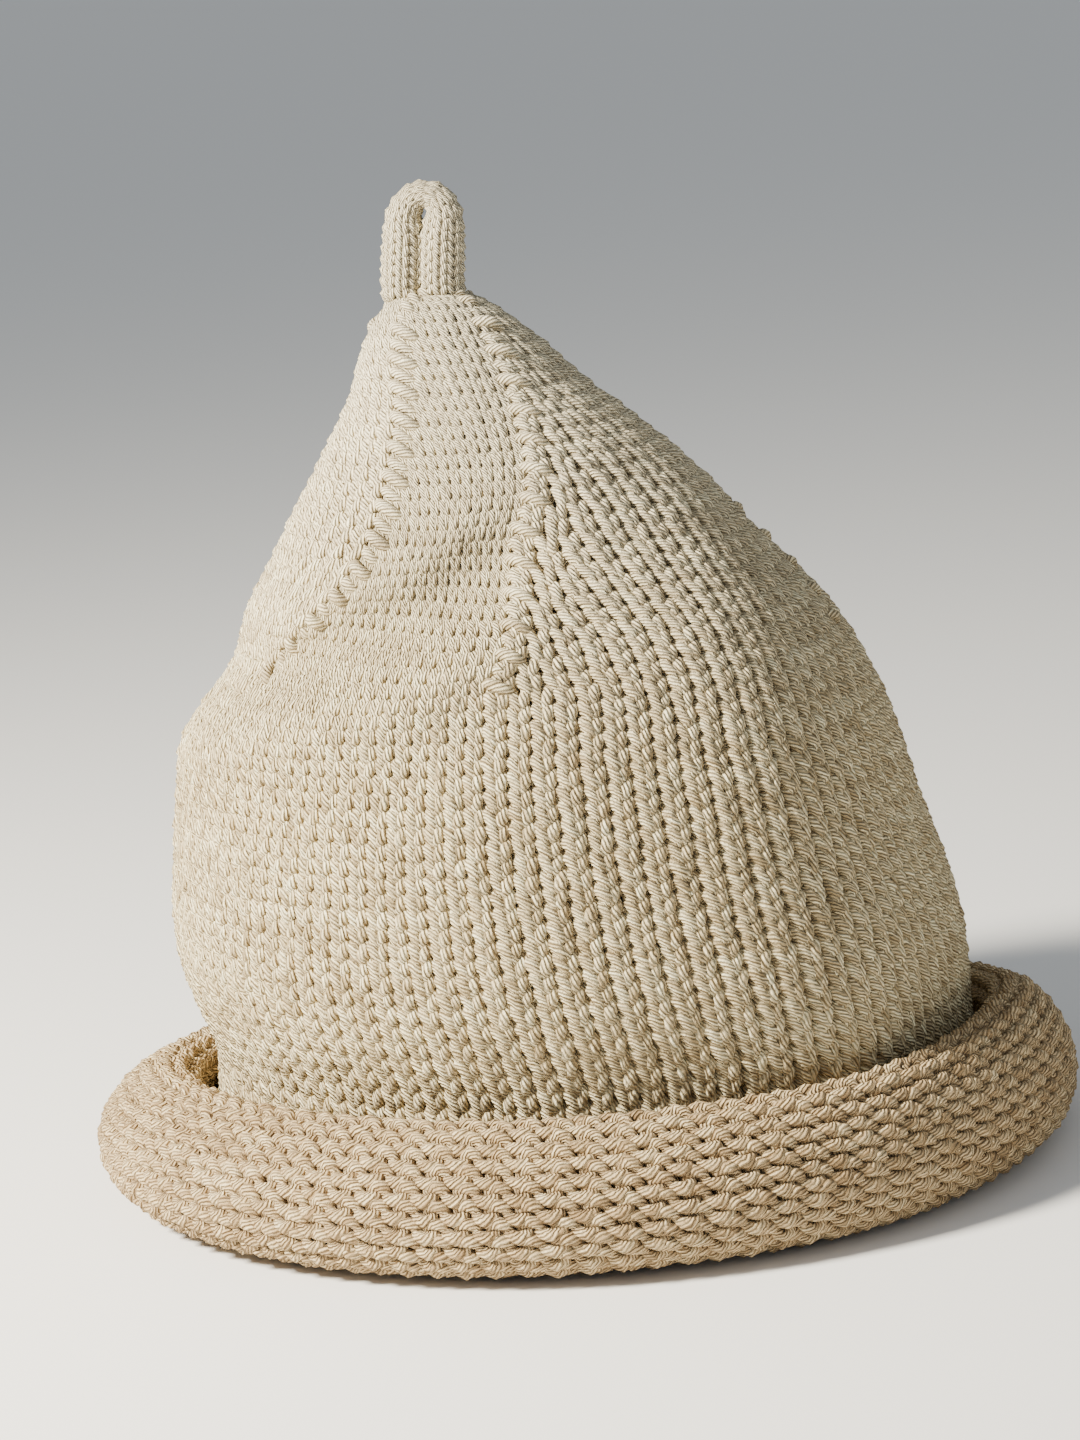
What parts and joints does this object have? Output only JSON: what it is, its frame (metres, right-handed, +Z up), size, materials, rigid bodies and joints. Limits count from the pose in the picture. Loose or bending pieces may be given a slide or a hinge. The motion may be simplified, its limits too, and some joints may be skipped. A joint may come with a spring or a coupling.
{
  "type": "knit hat",
  "caption": "Tall pointed hand-knitted hat in thick plied yarn, with a rolled brim, spiral decrease lines and a small knitted loop on its tip.",
  "frame": {"origin": "middle of the brim's underside, on the surface that the hat stands on", "axes": "+Z up from the brim to the tip, +X to the wearer's left as seen from the front, -Y to the front"},
  "size_m": [0.2244, 0.2276, 0.2218],
  "materials": {
    "yarn": "matt plied yarn, variegated from cream to camel"
  },
  "bodies": {
    "root": {"crown": "yarn", "rolled_brim": "yarn", "top_loop": "yarn"}
  },
  "joints": []
}
